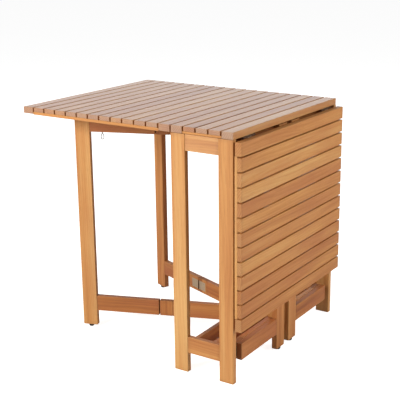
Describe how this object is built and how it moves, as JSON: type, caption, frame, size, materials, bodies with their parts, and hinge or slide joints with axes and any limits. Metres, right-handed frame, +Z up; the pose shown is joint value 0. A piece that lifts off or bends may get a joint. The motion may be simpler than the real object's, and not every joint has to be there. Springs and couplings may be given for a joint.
{
  "type": "gateleg garden table",
  "caption": "Slatted wooden drop-leaf garden table, one leaf raised on two bi-fold gates and the other hanging over its folded gates.",
  "frame": {"origin": "on the floor, under the middle of the whole table's outline with the left leaf raised and the right leaf hanging", "axes": "+Z up; +X from the raised leaf towards the hanging leaf; +Y along the boards, from the front end frame to the rear one"},
  "size_m": [0.7814, 0.637, 0.74],
  "materials": {
    "top_board": "oiled hardwood boards seen at a low angle, pale tan with soft sheen",
    "leaf_board": "oiled hardwood boards, warm orange brown, varying from board to board",
    "frame_timber": "oiled hardwood legs and rails, honey orange, straight grain",
    "gate_timber": "oiled hardwood rails and stiles, orange brown",
    "steel": "dull zinc-plated steel",
    "glide_plastic": "black plastic, lightly scuffed"
  },
  "bodies": {
    "frame": {"centre_frame": "top_board", "centre_slat_1": "top_board", "centre_slat_2": "top_board", "centre_slat_3": "top_board", "front_end_frame": "frame_timber", "rear_end_frame": "frame_timber", "left_stretcher": "frame_timber", "right_stretcher": "frame_timber", "lower_pivot_bearer": "frame_timber", "upper_pivot_bearer": "frame_timber", "left_front_hinge_fixed_half": "steel", "left_rear_hinge_fixed_half": "steel", "right_front_hinge_fixed_half": "steel", "right_rear_hinge_fixed_half": "steel"},
    "left_leaf": {"left_leaf_frame": "top_board", "left_leaf_slat_01": "top_board", "left_leaf_slat_02": "top_board", "left_leaf_slat_03": "top_board", "left_leaf_slat_04": "top_board", "left_leaf_slat_05": "top_board", "left_leaf_slat_06": "top_board", "left_leaf_slat_07": "top_board", "left_leaf_slat_08": "top_board", "left_leaf_slat_09": "top_board", "left_leaf_slat_10": "top_board", "left_leaf_slat_11": "top_board", "left_front_hinge_leaf_half": "steel", "left_rear_hinge_leaf_half": "steel"},
    "right_leaf": {"right_leaf_frame": "leaf_board", "right_leaf_slat_01": "leaf_board", "right_leaf_slat_02": "leaf_board", "right_leaf_slat_03": "leaf_board", "right_leaf_slat_04": "leaf_board", "right_leaf_slat_05": "leaf_board", "right_leaf_slat_06": "leaf_board", "right_leaf_slat_07": "leaf_board", "right_leaf_slat_08": "leaf_board", "right_leaf_slat_09": "leaf_board", "right_leaf_slat_10": "leaf_board", "right_leaf_slat_11": "leaf_board", "right_front_hinge_leaf_half": "steel", "right_rear_hinge_leaf_half": "steel"},
    "left_front_inner": {"left_front_gate_inner": "gate_timber"},
    "left_front_outer": {"left_front_gate_outer": "gate_timber", "left_front_glide": "glide_plastic", "left_front_eye": "steel"},
    "left_rear_inner": {"left_rear_gate_inner": "gate_timber"},
    "left_rear_outer": {"left_rear_gate_outer": "gate_timber", "left_rear_glide": "glide_plastic", "left_rear_eye": "steel"},
    "right_front_inner": {"right_front_gate_inner": "gate_timber"},
    "right_front_outer": {"right_front_gate_outer": "gate_timber", "right_front_glide": "glide_plastic", "right_front_eye": "steel"},
    "right_rear_inner": {"right_rear_gate_inner": "gate_timber"},
    "right_rear_outer": {"right_rear_gate_outer": "gate_timber", "right_rear_glide": "glide_plastic", "right_rear_eye": "steel"}
  },
  "joints": [
    {"name": "left_leaf_lift", "type": "hinge", "parent": "frame", "child": "left_leaf", "pos_m": [0.15925, 0, 0.7165], "axis": [0, 1, 0], "range_deg": [0, 8]},
    {"name": "right_leaf_raise", "type": "hinge", "parent": "frame", "child": "right_leaf", "pos_m": [0.36725, 0, 0.7165], "axis": [0, -1, 0], "range_deg": [0, 90]},
    {"name": "left_front_gate_swing", "type": "hinge", "parent": "frame", "child": "left_front_inner", "pos_m": [0.18825, -0.036, 0.383], "axis": [0, 0, 1], "range_deg": [0, 69.5]},
    {"name": "left_front_gate_fold", "type": "hinge", "parent": "left_front_inner", "child": "left_front_outer", "pos_m": [-0.03795, -0.11059, 0.383], "axis": [0, 0, -1], "range_deg": [0, 180]},
    {"name": "left_rear_gate_swing", "type": "hinge", "parent": "frame", "child": "left_rear_inner", "pos_m": [0.18825, 0.036, 0.383], "axis": [0, 0, -1], "range_deg": [0, 69.5]},
    {"name": "left_rear_gate_fold", "type": "hinge", "parent": "left_rear_inner", "child": "left_rear_outer", "pos_m": [-0.03795, 0.11059, 0.383], "axis": [0, 0, 1], "range_deg": [0, 180]},
    {"name": "right_front_gate_swing", "type": "hinge", "parent": "frame", "child": "right_front_inner", "pos_m": [0.33825, -0.036, 0.383], "axis": [0, 0, 1], "range_deg": [0, 0.15]},
    {"name": "right_front_gate_fold", "type": "hinge", "parent": "right_front_inner", "child": "right_front_outer", "pos_m": [0.3476, -0.274, 0.383], "axis": [0, 0, -1], "range_deg": [0, 0.39]},
    {"name": "right_rear_gate_swing", "type": "hinge", "parent": "frame", "child": "right_rear_inner", "pos_m": [0.33825, 0.036, 0.383], "axis": [0, 0, -1], "range_deg": [0, 0.15]},
    {"name": "right_rear_gate_fold", "type": "hinge", "parent": "right_rear_inner", "child": "right_rear_outer", "pos_m": [0.3476, 0.274, 0.383], "axis": [0, 0, 1], "range_deg": [0, 0.39]}
  ],
  "couplings": [
    {"joint": "left_front_gate_fold", "follows": "left_front_gate_swing", "ratio": 2.5899},
    {"joint": "left_rear_gate_fold", "follows": "left_rear_gate_swing", "ratio": 2.5899},
    {"joint": "right_front_gate_fold", "follows": "right_front_gate_swing", "ratio": 2.5899},
    {"joint": "right_rear_gate_fold", "follows": "right_rear_gate_swing", "ratio": 2.5899}
  ]
}
